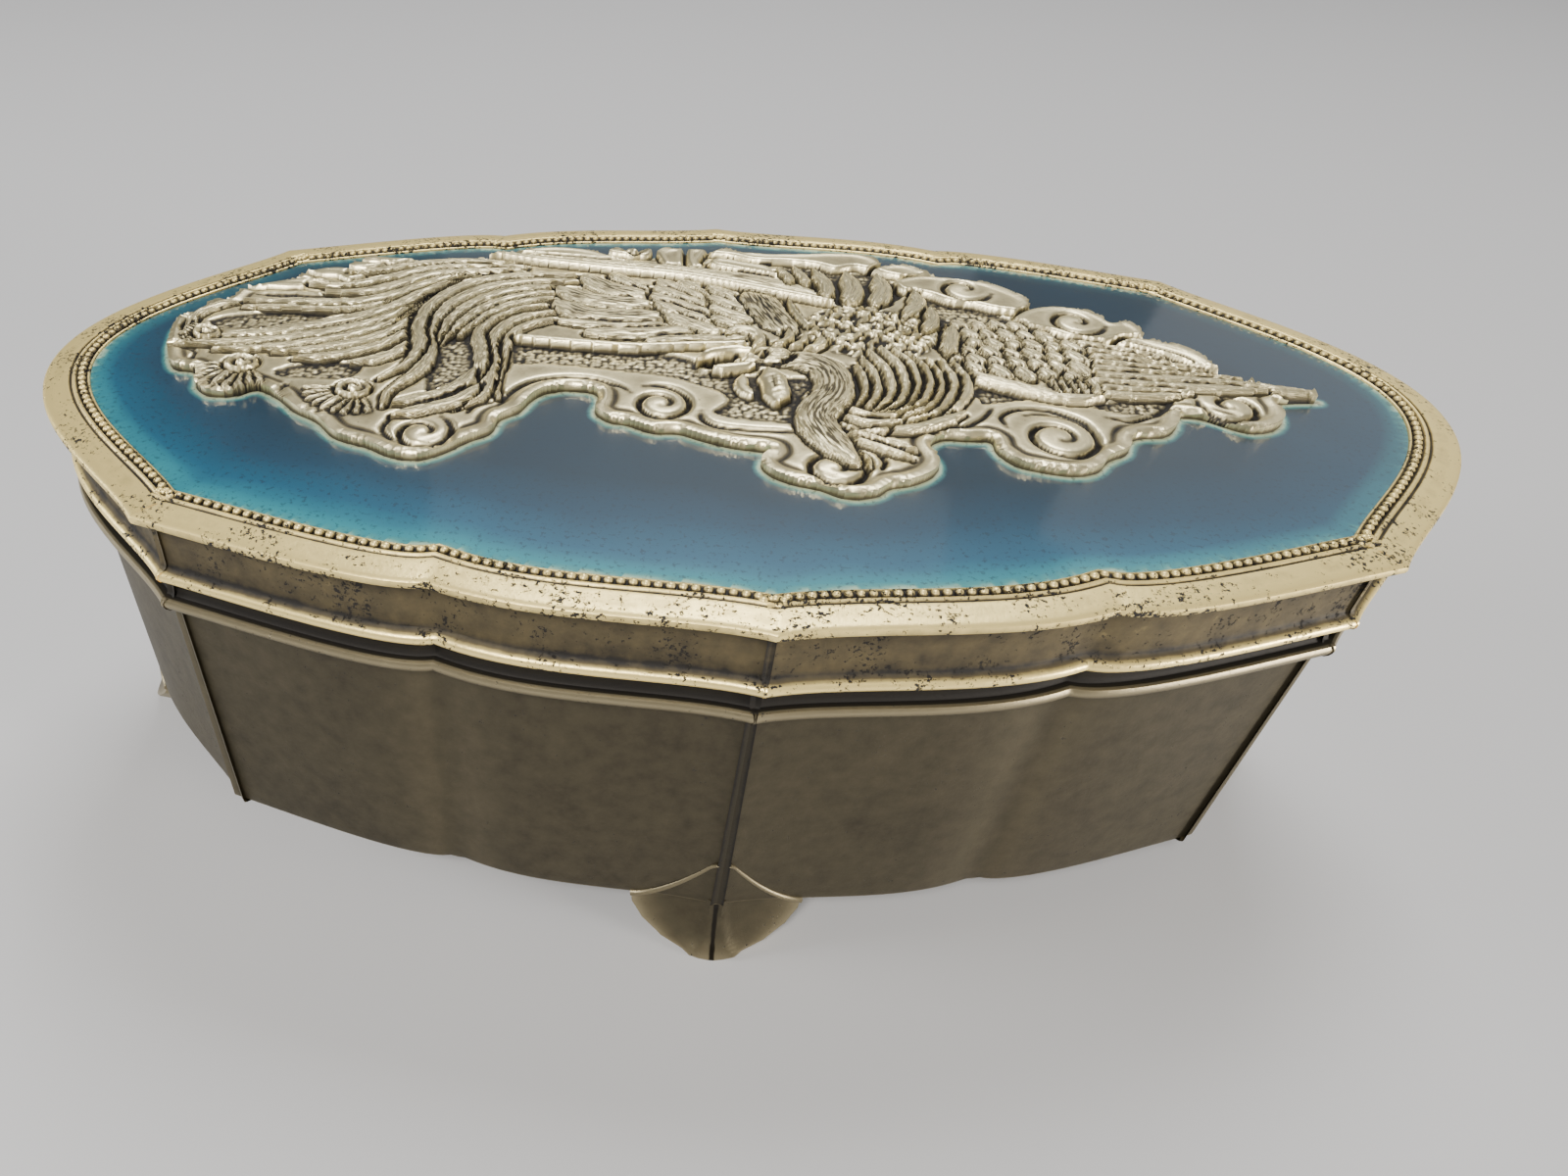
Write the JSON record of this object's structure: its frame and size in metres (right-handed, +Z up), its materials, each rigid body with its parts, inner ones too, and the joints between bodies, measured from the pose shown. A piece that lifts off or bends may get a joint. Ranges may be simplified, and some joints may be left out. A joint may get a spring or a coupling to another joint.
{
  "type": "trinket box",
  "caption": "Oval scalloped trinket box in cast white metal on pointed feet, with a lift-off lid: a phoenix and clouds in relief on blue enamel.",
  "frame": {"origin": "centre of the lid's rim in plan, on the surface that the feet stand on", "axes": "+Z up, +X along the box's length (the bird's beak points to -X), -Y to the front"},
  "size_m": [0.181, 0.1, 0.0631],
  "materials": {
    "body_metal": "aged dull white metal with dark specks",
    "lid_metal": "worn silvery white metal, black in the recesses, with a glossy blue enamel coat on the flat field around the relief"
  },
  "bodies": {
    "root": {"box_body": "body_metal", "box_lid": "lid_metal"}
  },
  "joints": []
}
